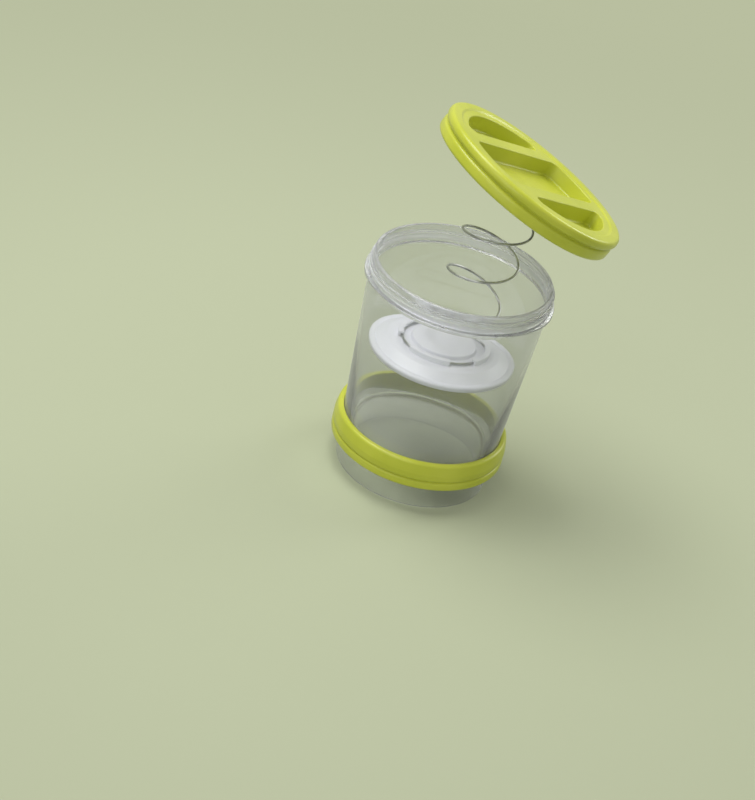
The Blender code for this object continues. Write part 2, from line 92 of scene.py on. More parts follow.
# %% Helper classes for node trees
class Value:
    """A socket that can be used in sums; each operator adds one Math node."""

    def __init__(self, tree, socket):
        self.tree = tree
        self.socket = socket

    def math(self, operation, *others):
        node = self.tree.add("ShaderNodeMath", {"operation": operation})
        for index, item in enumerate((self, *others)):
            self.tree.feed(node.inputs[index], item)
        return Value(self.tree, node.outputs[0])

    def __add__(self, other):
        return self.math("ADD", other)

    def __sub__(self, other):
        return self.math("SUBTRACT", other)

    def __mul__(self, other):
        return self.math("MULTIPLY", other)

    def __truediv__(self, other):
        return self.math("DIVIDE", other)

    def __rsub__(self, other):
        return self.math("MULTIPLY", -1) + other

    __radd__ = __add__
    __rmul__ = __mul__


class Tree:
    """A node tree with one method that adds any node."""

    def __init__(self, tree):
        self.tree = tree

    def feed(self, socket, item):
        if isinstance(item, Value):
            self.tree.links.new(item.socket, socket)
        elif isinstance(item, bpy.types.NodeSocket):
            self.tree.links.new(item, socket)
        else:
            socket.default_value = item

    def add(self, kind, settings=None, inputs=None):
        node = self.tree.nodes.new(kind)
        for name, setting in (settings or {}).items():
            if name == "stops":
                for element, (place, shade) in zip(node.color_ramp.elements, setting):
                    element.position = place
                    element.color = (shade, shade, shade, 1)
            else:
                setattr(node, name, setting)
        for name, item in (inputs or {}).items():
            self.feed(node.inputs[name], item)
        return node

    def value(self, node, output=0):
        return Value(self, node.outputs[output])


def new_finish(name):
    """An empty material, its tree and its output node."""
    made = bpy.data.materials.new(name)
    made.use_nodes = True
    made.node_tree.nodes.clear()
    tree = Tree(made.node_tree)
    output = tree.add("ShaderNodeOutputMaterial")
    return made, tree, output


def noise(tree, scale, detail, stretch=(1, 1, 1)):
    """Even noise from 0 to 1 in the object's own space, with scale in waves per metre."""
    place = tree.add("ShaderNodeTexCoord").outputs["Object"]
    mapped = tree.add("ShaderNodeMapping", inputs={"Vector": place, "Scale": stretch})
    node = tree.add("ShaderNodeTexNoise", inputs={
        "Vector": mapped.outputs[0], "Scale": scale, "Detail": detail})
    return tree.value(node, "Fac")


def ramp(tree, item, low, high):
    """Stretches the part of a value between two levels to 0 and 1."""
    node = tree.add("ShaderNodeValToRGB", {"stops": ((low, 0), (high, 1))}, {"Fac": item})
    return tree.value(node, "Color")


def two_tone(tree, share, first, second):
    """Mixes two colours by a share."""
    node = tree.add("ShaderNodeMix", {"data_type": "RGBA"}, {"Factor": share})
    node.inputs[6].default_value = (*first, 1)
    node.inputs[7].default_value = (*second, 1)
    return node.outputs[2]


def climb(item, low, high):
    """A value that runs from 0 to 1 between two levels and stays there."""
    return ((item - low) / (high - low)).math("MAXIMUM", 0.0).math("MINIMUM", 1.0)


def bump(tree, height, depth, strength):
    """A normal that follows a height from 0 to 1, with depth in metres."""
    node = tree.add("ShaderNodeBump", inputs={
        "Height": height, "Distance": depth, "Strength": strength})
    return node.outputs[0]


# %% [markdown]
# ## Clear jar plastic
# The jar is moulded from clear styrene. It bends light like thin glass, but its walls are never quite
# even, so what is behind it swims a little. Handling leaves a faint haze, which shows most where the
# wall is seen edge-on, and the threaded neck is rougher and whiter than the wall, with a clearer brim.
# A Diffuse shader mixed in by a small share gives the haze, and the height on the jar says where the
# neck starts. Solid plastic would cast a hard dark shadow here, so lamp rays pass through a slightly
# grey Transparent shader instead.

# %% Clear plastic
CLEAR_TINT = (0.88, 0.885, 0.9)
CLEAR_INDEX = 1.46
CLEAR_ROUGHNESS = 0.03
SCUFF_ROUGHNESS = 0.05
WAVE_DEPTH = 0.2 * MM
WAVE_STRENGTH = 0.06
SHADOW_TINT = (0.92, 0.925, 0.93)
NECK_FROM = 135 * MM
NECK_FULL = 140 * MM
NECK_ROUGHNESS = 0.34
NECK_HAZE = 0.12
BRIM_FROM = 142 * MM
BRIM_FULL = 145 * MM
BRIM_CLEARS = 0.65
HAZE_TONE = (0.62, 0.625, 0.65)
HAZE_SHARE = 0.08
HAZE_AT_EDGES = 0.35


def make_clear():
    """Clear moulded plastic with a whiter neck, through which lamps shine."""
    made, tree, output = new_finish("clear_plastic")
    scuffs = ramp(tree, noise(tree, 55, 4), 0.42, 0.75)
    waves = noise(tree, 38, 1, (1, 1, 0.35))
    place = tree.add("ShaderNodeTexCoord").outputs["Object"]
    height = tree.value(tree.add("ShaderNodeSeparateXYZ", inputs={"Vector": place}), "Z")
    neck = climb(height, NECK_FROM, NECK_FULL)
    rough = neck * (1 - BRIM_CLEARS * climb(height, BRIM_FROM, BRIM_FULL))
    shader = tree.add("ShaderNodeBsdfPrincipled", inputs={
        "Base Color": (*CLEAR_TINT, 1), "Transmission Weight": 1.0, "IOR": CLEAR_INDEX,
        "Roughness": CLEAR_ROUGHNESS + SCUFF_ROUGHNESS * scuffs + NECK_ROUGHNESS * rough,
        "Normal": bump(tree, waves, WAVE_DEPTH, WAVE_STRENGTH)})
    haze = tree.add("ShaderNodeBsdfDiffuse", inputs={"Color": (*HAZE_TONE, 1)})
    edge = tree.value(tree.add("ShaderNodeLayerWeight", inputs={"Blend": 0.5}), "Facing")
    hazy = tree.add("ShaderNodeMixShader", inputs={
        0: HAZE_SHARE + HAZE_AT_EDGES * edge * edge * edge + NECK_HAZE * neck,
        1: shader.outputs[0], 2: haze.outputs[0]})
    open_air = tree.add("ShaderNodeBsdfTransparent", inputs={"Color": (*SHADOW_TINT, 1)})
    rays = tree.add("ShaderNodeLightPath")
    both = tree.add("ShaderNodeMixShader", inputs={
        0: rays.outputs["Is Shadow Ray"], 1: hazy.outputs[0], 2: open_air.outputs[0]})
    tree.feed(output.inputs["Surface"], both.outputs[0])
    return made


clear = make_clear()

# %% [markdown]
# ## Lime, white and steel
# The lid and grip ring are one lime plastic with a soft gloss. Light sinks a little way into it, which
# a small subsurface weight gives. The mould leaves a fine grain and handling leaves rubbed patches.
# The plate is a cooler white with the same grain. The spring is drawn wire, with faint marks along it.

# %% Solid plastics and steel
LIME_PALE = (0.54, 0.57, 0.06)
LIME_DEEP = (0.46, 0.50, 0.035)
WHITE_PALE = (0.83, 0.83, 0.90)
WHITE_DEEP = (0.78, 0.78, 0.86)
STEEL_PALE = (0.56, 0.56, 0.59)
STEEL_DEEP = (0.28, 0.28, 0.31)
RUBBED_ROUGHNESS = 0.12
GRAIN_ROUGHNESS = 0.05
GRAIN_STRENGTH = 0.5
BLEED_REACH = 2 * MM
PLASTIC_INDEX = 1.5
STEEL_ROUGHNESS = 0.2
DRAWN_ROUGHNESS = 0.2
DRAWN_DEPTH = 0.03 * MM
DRAWN_STRENGTH = 0.4


def make_plastic(name, pale, deep, roughness, depth, bleed):
    """A moulded plastic with a grain of some depth, into which a share of the light sinks."""
    made, tree, output = new_finish(name)
    cloud = ramp(tree, noise(tree, 24, 3), 0.35, 0.65)
    rubbed = ramp(tree, noise(tree, 90, 5), 0.5, 0.8)
    grain = noise(tree, 1400, 2)
    shader = tree.add("ShaderNodeBsdfPrincipled", inputs={
        "Base Color": two_tone(tree, cloud, pale, deep),
        "Roughness": roughness + RUBBED_ROUGHNESS * rubbed + GRAIN_ROUGHNESS * grain,
        "Subsurface Weight": bleed, "Subsurface Scale": BLEED_REACH, "IOR": PLASTIC_INDEX,
        "Normal": bump(tree, grain, depth, GRAIN_STRENGTH)})
    shader.inputs["Subsurface Radius"].default_value = pale
    tree.feed(output.inputs["Surface"], shader.outputs[0])
    return made


def make_steel():
    """Drawn steel wire with faint marks along it."""
    made, tree, output = new_finish("spring_steel")
    drawn = noise(tree, 260, 4, (1, 1, 6))
    dull = ramp(tree, noise(tree, 120, 3), 0.4, 0.7)
    shader = tree.add("ShaderNodeBsdfPrincipled", inputs={
        "Base Color": two_tone(tree, dull, STEEL_PALE, STEEL_DEEP), "Metallic": 1.0,
        "Roughness": STEEL_ROUGHNESS + DRAWN_ROUGHNESS * drawn,
        "Normal": bump(tree, drawn, DRAWN_DEPTH, DRAWN_STRENGTH)})
    tree.feed(output.inputs["Surface"], shader.outputs[0])
    return made


lime = make_plastic("lime_plastic", LIME_PALE, LIME_DEEP, 0.26, 0.02 * MM, 0.12)
white = make_plastic("white_plastic", WHITE_PALE, WHITE_DEEP, 0.32, 0.03 * MM, 0.08)
steel = make_steel()
print("finishes:", [item.name for item in (clear, lime, white, steel)])

# %% [markdown]
# ## Turned outlines
# Nearly every piece of the press is round, so it is drawn as half a cross-section and turned about its
# axis. A section is a list of corners, each with its own rounding. Real mouldings have no sharp edge,
# and it is the rounded edges that catch the light.

# %% Outline and mesh helpers
ROUND_STEPS = 6
SEGMENTS = 160
SHARP = 38 * DEG
WELD = 0.001 * MM


def rounded(corners, steps=ROUND_STEPS):
    """Turns corners of (radius, height, rounding) in mm into points in metres, with arcs for corners."""
    points = []
    for index, (r, z, size) in enumerate(corners):
        here = Vector((r, z))
        if size == 0:
            points.append(here * MM)
            continue
        before = Vector(corners[index - 1][:2]) - here
        after = Vector(corners[(index + 1) % len(corners)][:2]) - here
        half = before.angle(after) / 2
        reach = min(size / math.tan(half), before.length / 2, after.length / 2)
        between = (before.normalized() + after.normalized()).normalized()
        middle = here + between * (reach / math.cos(half))
        start = here + before.normalized() * reach - middle
        sweep = start.angle_signed(here + after.normalized() * reach - middle)
        for step in range(steps + 1):
            turn = Matrix.Rotation(-sweep * step / steps, 2)
            points.append((middle + turn @ start) * MM)
    return points


def ring(build, radius, height):
    """A circle of vertices about Z, or one vertex on the axis."""
    if radius < WELD:
        return [build.verts.new((0, 0, height))]
    angles = [TURN * index / SEGMENTS for index in range(SEGMENTS)]
    return [build.verts.new((radius * math.cos(a), radius * math.sin(a), height)) for a in angles]


def loft(build, rings, closed=False):
    """Joins each ring of vertices to the next with faces."""
    pairs = list(zip(rings, rings[1:]))
    if closed:
        pairs.append((rings[-1], rings[0]))
    for first, second in pairs:
        count = max(len(first), len(second))
        for index in range(count):
            following = (index + 1) % count
            corners = [first[index % len(first)], first[following % len(first)],
                       second[following % len(second)], second[index % len(second)]]
            build.faces.new(list(dict.fromkeys(corners)))


def fill(build, loops):
    """Fills a flat face between loops of vertices; a loop inside another is a hole."""
    edges = []
    for loop in loops:
        for first, second in zip(loop, loop[1:] + loop[:1]):
            edges.append(build.edges.get((first, second)) or build.edges.new((first, second)))
    bmesh.ops.triangle_fill(build, edges=edges, use_beauty=True, use_dissolve=False, normal=(0, 0, 1))


def welded(build):
    """Merges double vertices and turns every face outwards."""
    bmesh.ops.remove_doubles(build, verts=build.verts, dist=WELD)
    bmesh.ops.recalc_face_normals(build, faces=build.faces)
    return build


def weld_piece(piece):
    """Welds the mesh of a piece that Geometry Nodes made."""
    build = bmesh.new()
    build.from_mesh(piece.data)
    welded(build).to_mesh(piece.data)
    build.free()


def smooth_shading(mesh):
    """Shades a mesh smooth and keeps its sharp edges."""
    mesh.shade_smooth()
    mesh.set_sharp_from_angle(angle=SHARP)


def finished(build, name, finish, place=None):
    """Makes the mesh a piece at the origin with its place in its mesh."""
    welded(build)
    mesh = bpy.data.meshes.new(name)
    build.to_mesh(mesh)
    build.free()
    if place is not None:
        mesh.transform(place)
    smooth_shading(mesh)
    mesh.materials.append(finish)
    piece = bpy.data.objects.new(name, mesh)
    bpy.context.scene.collection.objects.link(piece)
    return piece


def turned(name, outline, finish, place, closed=False):
    """Turns half a cross-section about Z; a closed one runs back to its first point."""
    build = bmesh.new()
    loft(build, [ring(build, r, z) for r, z in outline], closed)
    return finished(build, name, finish, place)


def plain_copy(piece):
    """Turns a piece's modifiers into plain mesh and takes them off."""
    graph = bpy.context.evaluated_depsgraph_get()
    mesh = bpy.data.meshes.new_from_object(piece.evaluated_get(graph), depsgraph=graph)
    piece.modifiers.clear()
    piece.data = mesh
    return piece


def joined(piece, other):
    """Joins two closed bodies into one with a Boolean."""
    union = piece.modifiers.new("join", "BOOLEAN")
    union.object = other
    union.operation = "UNION"
    union.solver = "EXACT"
    plain_copy(piece)
    bpy.data.objects.remove(other)
    smooth_shading(piece.data)
    return piece


def report(piece):
    """Prints how many faces a piece has."""
    print(piece.name, "has", len(piece.data.polygons), "faces")


ON_JAR = Matrix.Translation(JAR_AXIS)

# %% [markdown]
# ## A screw thread from Geometry Nodes
# A thread is a ridge that climbs round the neck by its pitch each turn, so it follows a rule and suits
# Geometry Nodes. A straight line of points is bent into the climb, the ridge's section is carried along
# it, and the section shrinks to nothing at each end, as a moulded thread does.

# %% Thread tree
PITCH = 3.2 * MM
THREAD_START = 139.8 * MM
POINTS_PER_TURN = 96
RUN_OUT_TURNS = 0.16
LEAST_SWELL = 0.02


def named_inputs(name, sizes):
    """A new Geometry Nodes tree with a mesh output and one named input for each size."""
    group = bpy.data.node_groups.new(name, "GeometryNodeTree")
    face = group.interface
    face.new_socket("Geometry", in_out="INPUT", socket_type="NodeSocketGeometry")
    for title, kind in sizes:
        face.new_socket(title, in_out="INPUT", socket_type=kind)
    face.new_socket("Geometry", in_out="OUTPUT", socket_type="NodeSocketGeometry")
    tree = Tree(group)
    tree.source = tree.add("NodeGroupInput")
    return group, tree, tree.source, tree.add("NodeGroupOutput")


def set_inputs(piece, group, values):
    """Adds the tree to a piece and sets its inputs by their identifiers."""
    modifier = piece.modifiers.new(group.name, "NODES")
    modifier.node_group = group
    for item in group.interface.items_tree:
        if item.in_out == "INPUT" and item.name in values:
            modifier[item.identifier] = values[item.name]


def end_tree(tree, output, geometry):
    """Closes a tree: makes its copies real and gives them the finish from its input."""
    real = tree.add("GeometryNodeRealizeInstances", inputs={"Geometry": geometry})
    painted = tree.add("GeometryNodeSetMaterial", inputs={"Geometry": real.outputs[0]})
    tree.feed(painted.inputs["Material"], tree.source.outputs["Finish"])
    tree.feed(output.inputs[0], painted.outputs[0])


FLOAT = "NodeSocketFloat"
WHOLE = "NodeSocketInt"


def thread_tree():
    """Carries the section mesh given as geometry along a climbing circle."""
    group, tree, source, output = named_inputs("screw_thread", [
        ("Radius", FLOAT), ("Pitch", FLOAT), ("Turns", FLOAT), ("Points", WHOLE),
        ("Run Out", FLOAT), ("Finish", "NodeSocketMaterial")])
    size = {name: Value(tree, source.outputs[name]) for name in
            ("Radius", "Pitch", "Turns", "Run Out")}
    line = tree.add("GeometryNodeMeshLine", inputs={"Count": source.outputs["Points"]})
    share = Value(tree, tree.add("GeometryNodeInputIndex").outputs[0]) / (
        Value(tree, source.outputs["Points"]) - 1)
    angle = share * size["Turns"] * TURN
    point = tree.add("ShaderNodeCombineXYZ", inputs={
        "X": angle.math("COSINE") * size["Radius"], "Y": angle.math("SINE") * size["Radius"],
        "Z": share * size["Turns"] * size["Pitch"]})
    placed = tree.add("GeometryNodeSetPosition", inputs={
        "Geometry": line.outputs[0], "Position": point.outputs[0]})
    path = tree.add("GeometryNodeMeshToCurve", inputs={"Mesh": placed.outputs[0]})
    upright = tree.add("GeometryNodeSetCurveNormal", inputs={"Curve": path.outputs[0]})
    upright.mode = "Z_UP"
    end = share.math("MINIMUM", 1 - share) * size["Turns"] / size["Run Out"]
    swell = (end.math("MINIMUM", 1.0) * (TURN / 4)).math("SINE").math("MAXIMUM", LEAST_SWELL)
    scaled = tree.add("GeometryNodeSetCurveRadius", inputs={
        "Curve": upright.outputs[0], "Radius": swell})
    section = tree.add("GeometryNodeMeshToCurve", inputs={"Mesh": source.outputs["Geometry"]})
    swept = tree.add("GeometryNodeCurveToMesh", inputs={
        "Curve": scaled.outputs[0], "Profile Curve": section.outputs[0], "Fill Caps": True})
    end_tree(tree, output, swept.outputs[0])
    return group


THREAD_TREE = thread_tree()


def thread(name, radius, depth, crest, root, turns, start, finish):
    """A thread whose root lies on a radius and whose crest stands depth away from it, out or in."""
    section = bpy.data.meshes.new(name)
    points = [(-root / 2, 0), (root / 2, 0), (crest / 2, depth), (-crest / 2, depth)]
    section.from_pydata([(out, up, 0) for up, out in points], [(0, 1), (1, 2), (2, 3), (3, 0)], [])
    piece = bpy.data.objects.new(name, section)
    bpy.context.scene.collection.objects.link(piece)
    set_inputs(piece, THREAD_TREE, {
        "Radius": radius, "Pitch": PITCH, "Turns": turns, "Points": round(turns * POINTS_PER_TURN),
        "Run Out": RUN_OUT_TURNS, "Finish": finish})
    weld_piece(plain_copy(piece))
    piece.data.transform(Matrix.Translation((0, 0, start)))
    return piece


# %% [markdown]
# ## Jar
# The jar is one clear moulding: a foot, a floor raised inside it, a wall that widens upward, a flange
# that the lid's skirt comes down to, and a threaded neck. The light bends at every face inside the
# plastic, so the thread is joined to the neck with a Boolean rather than left as a second body in it.

# %% Jar
FOOT = 50.3
SLOPE = math.tan(3.5 * DEG)
WALL = 2.2
FLOOR_UNDER = 21.8
FLOOR_TOP = 24.3
BEAD_TOP = 18
BEAD_OUT = 0.9
SHOULDER = 135.2
FLANGE = 61.6
FLANGE_TOP = 138.5
NECK = 58.2
NECK_IN = 55.9
JAR_TOP = 150
JAR_THREAD_TURNS = 2.2
THREAD_SINK = 0.3


def wall_at(height):
    """The wall's outer radius at a height."""
    return FOOT + SLOPE * height


JAR_CORNERS = [
    (0, FLOOR_UNDER, 0), (48.7, FLOOR_UNDER, 5), (48.1, 0, 0.35), (FOOT, 0, 0.6),
    (wall_at(15.6), 15.6, 0.5), (wall_at(BEAD_TOP) + BEAD_OUT, 16.8, 0.3),
    (wall_at(BEAD_TOP) + BEAD_OUT, 17.5, 0.2), (wall_at(BEAD_TOP), BEAD_TOP, 0.1),
    (wall_at(SHOULDER), SHOULDER, 1.2), (FLANGE, 136.3, 0.7), (FLANGE, FLANGE_TOP, 0.7),
    (NECK, FLANGE_TOP, 0.8), (NECK, JAR_TOP, 0.9), (NECK_IN, JAR_TOP, 0.5), (NECK_IN, 137.4, 2),
    (wall_at(SHOULDER) - WALL, SHOULDER, 2), (wall_at(FLOOR_TOP) - WALL, FLOOR_TOP, 7),
    (0, FLOOR_TOP, 0),
]
jar = turned("jar_shell", rounded(JAR_CORNERS), clear, ON_JAR)
jar_thread = thread("jar_thread", (NECK - THREAD_SINK) * MM, depth=1.8 * MM, crest=0.9 * MM,
                    root=1.75 * MM, turns=JAR_THREAD_TURNS, start=THREAD_START, finish=clear)
jar_thread.data.transform(ON_JAR)
joined(jar, jar_thread)
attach(jar, "jar")
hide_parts("jar")
report(jar)

# %% [markdown]
# ## Grip ring
# The ring snaps over a bead near the jar's foot. Its outside is a low ridge, a narrow groove and a tall
# ridge that leans in a little above a soft crease. It is the same double ridge as the lid's, so the two
# read as a pair.

# %% Grip ring
RING_LOW = 18.3
RING_TOP = 37.0
RING_OUT = 57.8
RING_GROOVE = 24.5
RING_GROOVE_DEPTH = 1.6
RING_GROOVE_HALF = 0.9
RING_CREASE = 29.5
RING_LEAN = 1.3
RING_PLAY = 0.3

RING_CORNERS = [
    (wall_at(RING_LOW) + RING_PLAY, RING_LOW, 0.3), (RING_OUT, RING_LOW, 1.6),
    (RING_OUT, RING_GROOVE - RING_GROOVE_HALF, 1.5),
    (RING_OUT - RING_GROOVE_DEPTH, RING_GROOVE, 0.3),
    (RING_OUT, RING_GROOVE + RING_GROOVE_HALF, 1.5), (RING_OUT, RING_CREASE, 2.0),
    (RING_OUT - RING_LEAN, RING_TOP, 3.0), (wall_at(RING_TOP) + RING_PLAY, RING_TOP, 0.7),
]
grip_ring = turned("grip_ring", rounded(RING_CORNERS), lime, ON_JAR, True)
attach(grip_ring, "jar")
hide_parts("base_ring")
report(grip_ring)

# %% [markdown]
# ## Lid
# The lid is the hardest piece. Its top is a thin land with three grip pockets sunk in it, and the two
# bars left between them are what the hand turns. A Boolean would leave ragged edges that can't be
# rounded well, so the pockets are lofted: the same plan outline is drawn again and again, a little
# smaller and lower each time, down a rounded lip, a sloping wall and a rounded floor.

# %% Lid sizes
LID_TILT = 25.25 * DEG
LID_TOP = Vector((15.768, 0, 222.7)) * MM
ON_LID = Matrix.Translation(LID_TOP) @ Matrix.Rotation(LID_TILT, 4, "Y")
LID_OUT = 66.5
LOWER_OUT = LID_OUT - 0.7
LID_LOW = -15.0
LAND = -0.8
LAND_OUT = 57.5
LAND_SLOPE = 1.6
ROOF_UNDER = -3.5
SKIRT_IN = 61.2
LID_GROOVE = -6.7
GROOVE_DEPTH = 3.1
GROOVE_HALF = 1.4
RIDGE_ROUND = 3.1
GROOVE_SHOULDER = 2.6
POCKET_FLOOR = -10.7
TUB_FLOOR = -12.5
TUB_WALL = 1.8
POCKET_CIRCLE = 53.0
BAR_IN = 19.5
BAR_OUT = 29.5
POCKET_TURN = 33 * DEG
MIDDLE_CORNER = 6.0
SIDE_CORNER = 4.0
CORNER_STEPS = 8
ARC_STEPS = 32
DRAFT = 0.5
FLAT = 0.6


# %% Pocket outlines
def plan(skeleton, corner, grow):
    """A plan outline in metres: skeleton points pushed out by the corner's radius and what it grows."""
    spin = Matrix.Rotation(POCKET_TURN, 2)
    return [(spin @ (point + way * (corner + grow))) * MM for point, way in skeleton]


def fan(point, first, last):
    """One skeleton point with its normals turned from one angle to another, in degrees."""
    angles = [first + (last - first) * step / CORNER_STEPS for step in range(CORNER_STEPS + 1)]
    return [(point, Vector((math.cos(a * DEG), math.sin(a * DEG)))) for a in angles]


def arc(radius, middle, half):
    """Skeleton points along an arc about the lid's middle, each pointing outwards; angles in degrees."""
    angles = [(middle - half + 2 * half * step / ARC_STEPS) * DEG for step in range(ARC_STEPS + 1)]
    ways = [Vector((math.cos(a), math.sin(a))) for a in angles]
    return [(way * radius, way) for way in ways]


def middle_skeleton():
    """The middle pocket: the slice of the pockets' circle between the two bars."""
    radius = POCKET_CIRCLE - MIDDLE_CORNER
    half = math.degrees(math.asin((BAR_IN - MIDDLE_CORNER) / radius))
    pairs = []
    for middle in (0, 180):
        end = arc(radius, middle, half)
        pairs += fan(end[0][0], middle - 90, middle - half)[:-1] + end
        pairs += fan(end[-1][0], middle + half, middle + 90)[1:]
    return pairs


def side_skeleton(side):
    """A side pocket: the slice of the pockets' circle outside one bar."""
    radius = POCKET_CIRCLE - SIDE_CORNER
    half = math.degrees(math.acos((BAR_OUT + SIDE_CORNER) / radius))
    middle = 90 * side
    pairs = arc(radius, middle, half)
    pairs += fan(pairs[-1][0], middle + half, middle + 180)[1:]
    pairs += fan(pairs[0][0], middle + 180, middle + 360 - half)[:-1]
    return pairs


POCKETS = [(middle_skeleton(), MIDDLE_CORNER), (side_skeleton(1), SIDE_CORNER),
           (side_skeleton(-1), SIDE_CORNER)]


def pocket_section(lip, floor, lip_round, floor_round, grow):
    """How far a pocket's outline has grown at each height on its way down, in mm."""
    corners = [(grow + lip_round + FLAT, lip, 0), (grow, lip, lip_round),
               (grow - DRAFT, floor, floor_round), (grow - DRAFT - floor_round - FLAT, floor, 0)]
    return [(point.x / MM, point.y) for point in rounded(corners)]


def loft_pocket(build, skeleton, corner, section):
    """Lofts one pocket and gives its top and bottom loops."""
    loops = []
    for grow, height in section:
        loops.append([build.verts.new((p.x, p.y, height)) for p in plan(skeleton, corner, grow)])
    loft(build, loops)
    return loops[0], loops[-1]


# %% Lid mesh
def lid_rim():
    """The lid from the land's edge over both ridges, round the skirt and in to the roof's underside."""
    corners = [
        (LAND_OUT - 1.2, LAND, 0), (LAND_OUT, LAND, 0.5), (LAND_OUT + LAND_SLOPE, 0, 0.9),
        (LID_OUT, 0, RIDGE_ROUND), (LID_OUT, LID_GROOVE + GROOVE_HALF, GROOVE_SHOULDER),
        (LID_OUT - GROOVE_DEPTH, LID_GROOVE, 0.5),
        (LOWER_OUT, LID_GROOVE - GROOVE_HALF, GROOVE_SHOULDER), (LOWER_OUT, LID_LOW, RIDGE_ROUND),
        (SKIRT_IN, LID_LOW, 0.6), (SKIRT_IN, ROOF_UNDER, 0.8), (SKIRT_IN - 2.5, ROOF_UNDER, 0),
    ]
    return rounded(corners)


HUB = 7
BARB = 8.5
BARB_TOP = -15.6
HUB_END = -18.2
HUB_CORNERS = [
    (8.4, TUB_FLOOR, 0), (HUB, TUB_FLOOR, 0.5), (HUB, BARB_TOP, 0.2), (BARB, BARB_TOP, 0.2),
    (BARB, -16.8, 0.4), (HUB, HUB_END, 0.5), (0, HUB_END, 0),
]


def make_lid():
    """The lid in one mesh: rim, hub, and three pockets lofted inside and outside."""
    build = bmesh.new()
    rim = [ring(build, r, z) for r, z in lid_rim()]
    loft(build, rim)
    hub = [ring(build, r, z) for r, z in rounded(HUB_CORNERS)]
    loft(build, hub)
    tops = [rim[0]]
    unders = [rim[-1]]
    inner = pocket_section(LAND, POCKET_FLOOR, 0.9, 2.2, 0)
    outer = pocket_section(ROOF_UNDER, TUB_FLOOR, 0.8, 2.8, TUB_WALL)
    for index, (skeleton, corner) in enumerate(POCKETS):
        top, floor = loft_pocket(build, skeleton, corner, inner)
        tops.append(top)
        fill(build, [floor])
        under, low = loft_pocket(build, skeleton, corner, outer)
        unders.append(under)
        fill(build, [low, hub[0]] if index == 0 else [low])
    fill(build, tops)
    fill(build, unders)
    return finished(build, "lid_shell", lime, ON_LID)


lid = make_lid()
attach(lid, "lid")
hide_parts("lid")
report(lid)

# %% [markdown]
# ## The lid's own thread
# The thread inside the skirt has the same pitch as the neck's, half a pitch above it when the lid is
# shut, so that the two mesh. It is made where it lies on the shut lid, and then swung up with the
# lid about the point that the lid turns about.

# %% Lid thread
SWING_POLE = Vector((154.973, 0, 123.067)) * MM
HALF_PITCH = PITCH / 2
LID_THREAD_TURNS = 1.7
lid_thread = thread("lid_thread", (SKIRT_IN + THREAD_SINK) * MM, depth=-2.75 * MM,
                    crest=0.7 * MM, root=1.4 * MM, turns=LID_THREAD_TURNS,
                    start=THREAD_START + HALF_PITCH, finish=lime)
lift = (Matrix.Translation(SWING_POLE) @ Matrix.Rotation(LID_TILT, 4, "Y")
        @ Matrix.Translation(-SWING_POLE))
lid_thread.data.transform(lift @ ON_JAR)
smooth_shading(lid_thread.data)
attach(lid_thread, "lid")
report(lid_thread)

# %% [markdown]
# ## Press plate
# The plate is a thick white disc with a shallow rim, a belly below, a flat seat for the spring and a low
# boss that keeps the spring central. Three hooks hold the wire down, and one quarter is left open where
# the wire climbs away. The hook is made once and Geometry Nodes repeats it round the axis.

# %% Hook tree
def repeat_tree():
    """Repeats the geometry round Z in even steps."""
    group, tree, source, output = named_inputs("repeat_round", [
        ("Count", WHOLE), ("First Angle", FLOAT), ("Step Angle", FLOAT),
        ("Finish", "NodeSocketMaterial")])
    points = tree.add("GeometryNodePoints", inputs={"Count": source.outputs["Count"]})
    index = Value(tree, tree.add("GeometryNodeInputIndex").outputs[0])
    first = Value(tree, source.outputs["First Angle"])
    angle = first + index * Value(tree, source.outputs["Step Angle"])
    turn = tree.add("ShaderNodeCombineXYZ", inputs={"Z": angle})
    copies = tree.add("GeometryNodeInstanceOnPoints", inputs={
        "Points": points.outputs[0], "Instance": source.outputs["Geometry"]})
    euler = tree.add("FunctionNodeEulerToRotation", inputs={"Euler": turn.outputs[0]})
    tree.feed(copies.inputs["Rotation"], euler.outputs[0])
    end_tree(tree, output, copies.outputs[0])
    return group


REPEAT_TREE = repeat_tree()
HOOK_STEPS = 14
HOOK_HALF = 27.5 * DEG
HOOK_COUNT = 3
HOOK_STEP = 90 * DEG
HOOK_WALL = 1.5
HOOK_ROOT = 0.5
HOOK_ROUND_STEPS = 4
WIRE = 0.8
GAP = 0.3


def hook(name, coil, floor, away, first, step):
    """Three hooks round an end coil: a post outside the wire and a lip over it."""
    post_in = coil + WIRE + GAP
    lip_in = coil - WIRE - GAP
    lip_low = floor + away * (2 * WIRE + 2 * GAP)
    lip_high = lip_low + away * HOOK_WALL
    root = floor - away * HOOK_ROOT
    outline = rounded([
        (post_in, root, 0), (post_in + HOOK_WALL, root, 0), (post_in + HOOK_WALL, lip_high, 0.6),
        (lip_in, lip_high, 0.6), (lip_in, lip_low, 0.3), (post_in, lip_low, 0.3)], HOOK_ROUND_STEPS)
    build = bmesh.new()
    rings = []
    for index in range(HOOK_STEPS + 1):
        angle = HOOK_HALF * (2 * index / HOOK_STEPS - 1)
        cosine = math.cos(angle)
        sine = math.sin(angle)
        rings.append([build.verts.new((r * cosine, r * sine, z)) for r, z in outline])
    loft(build, rings)
    build.faces.new(rings[0])
    build.faces.new(rings[-1])
    piece = finished(build, name, white)
    set_inputs(piece, REPEAT_TREE, {
        "Count": HOOK_COUNT, "First Angle": first, "Step Angle": step, "Finish": white})
    return plain_copy(piece)


# %% Plate
PLATE_TOP = 96.5
PLATE_OUT = 48.0
PLATE_COIL = 27.5
BOSS = 2.7
RIM = -4.4
SPRING_START = -7.5 * DEG

